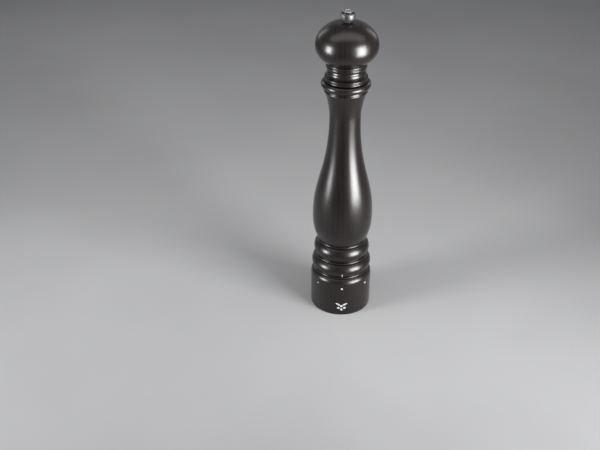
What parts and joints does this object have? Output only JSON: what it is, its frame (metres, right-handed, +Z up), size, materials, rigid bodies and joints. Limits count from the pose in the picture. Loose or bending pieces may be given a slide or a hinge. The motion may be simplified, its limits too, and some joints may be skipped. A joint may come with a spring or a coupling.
{
  "type": "pepper mill",
  "caption": "Tall turned-wood pepper mill with a ball head, a metal knob on top and a grind selector ring at the foot.",
  "frame": {"origin": "centre of the foot, on the surface the mill stands on", "axes": "+Z up along the turning axis, -Y towards the index mark at the front"},
  "size_m": [0.0786, 0.0786, 0.4],
  "materials": {
    "lacquered_wood": "dark stain under a satin lacquer",
    "polished_metal": "polished",
    "plain_steel": "plain",
    "burr_steel": "hardened, dark",
    "spring_steel": "drawn",
    "black_nylon": "moulded",
    "pale_plastic": "moulded"
  },
  "bodies": {
    "selector": {"selector_ring": "lacquered_wood", "thread_ring": "black_nylon"},
    "barrel": {"mill_body": "lacquered_wood", "mouth_collar": "black_nylon", "retaining_clip": "spring_steel", "bearing_plate": "plain_steel", "bearing_plate_screw_1": "plain_steel", "bearing_plate_screw_2": "plain_steel", "bearing_plate_screw_3": "plain_steel"},
    "carrier": {"burr_carrier": "black_nylon", "female_grinder": "burr_steel"},
    "spindle": {"drive_shaft": "plain_steel", "male_grinder": "burr_steel", "bearing_bush": "pale_plastic", "shaft_clip": "spring_steel", "grinder_spring": "spring_steel", "grinder_clip": "spring_steel"},
    "head": {"mill_head": "lacquered_wood", "drive_plate": "plain_steel", "drive_plate_screw_1": "plain_steel", "drive_plate_screw_2": "plain_steel", "drive_plate_screw_3": "plain_steel"},
    "washer": {"knob_washer": "black_nylon"},
    "knob": {"knob": "polished_metal", "knob_cap": "polished_metal"}
  },
  "joints": [
    {"name": "grind_select", "type": "hinge", "parent": "selector", "child": "barrel", "pos_m": [0, 0, 0], "axis": [0, 0, 1], "range_deg": [-154.29, 102.86]},
    {"name": "carrier_travel", "type": "slide", "parent": "barrel", "child": "carrier", "axis": [0, 0, 1], "range_m": [-0.0009, 0.0006]},
    {"name": "head_turn", "type": "hinge", "parent": "barrel", "child": "spindle", "pos_m": [0, 0, 0], "axis": [0, 0, 1], "continuous": true},
    {"name": "head_lift", "type": "slide", "parent": "spindle", "child": "head", "axis": [0, 0, 1], "range_m": [0, 0.1]},
    {"name": "knob_rise", "type": "slide", "parent": "head", "child": "washer", "axis": [0, 0, 1], "range_m": [0, 0.0064]},
    {"name": "knob_turn", "type": "hinge", "parent": "washer", "child": "knob", "pos_m": [0, 0, 0], "axis": [0, 0, 1], "range_deg": [0, 2880]}
  ],
  "couplings": [
    {"joint": "carrier_travel", "follows": "grind_select", "m_per_rad": 0.000334},
    {"joint": "knob_rise", "follows": "knob_turn", "m_per_rad": 0.0001273}
  ]
}
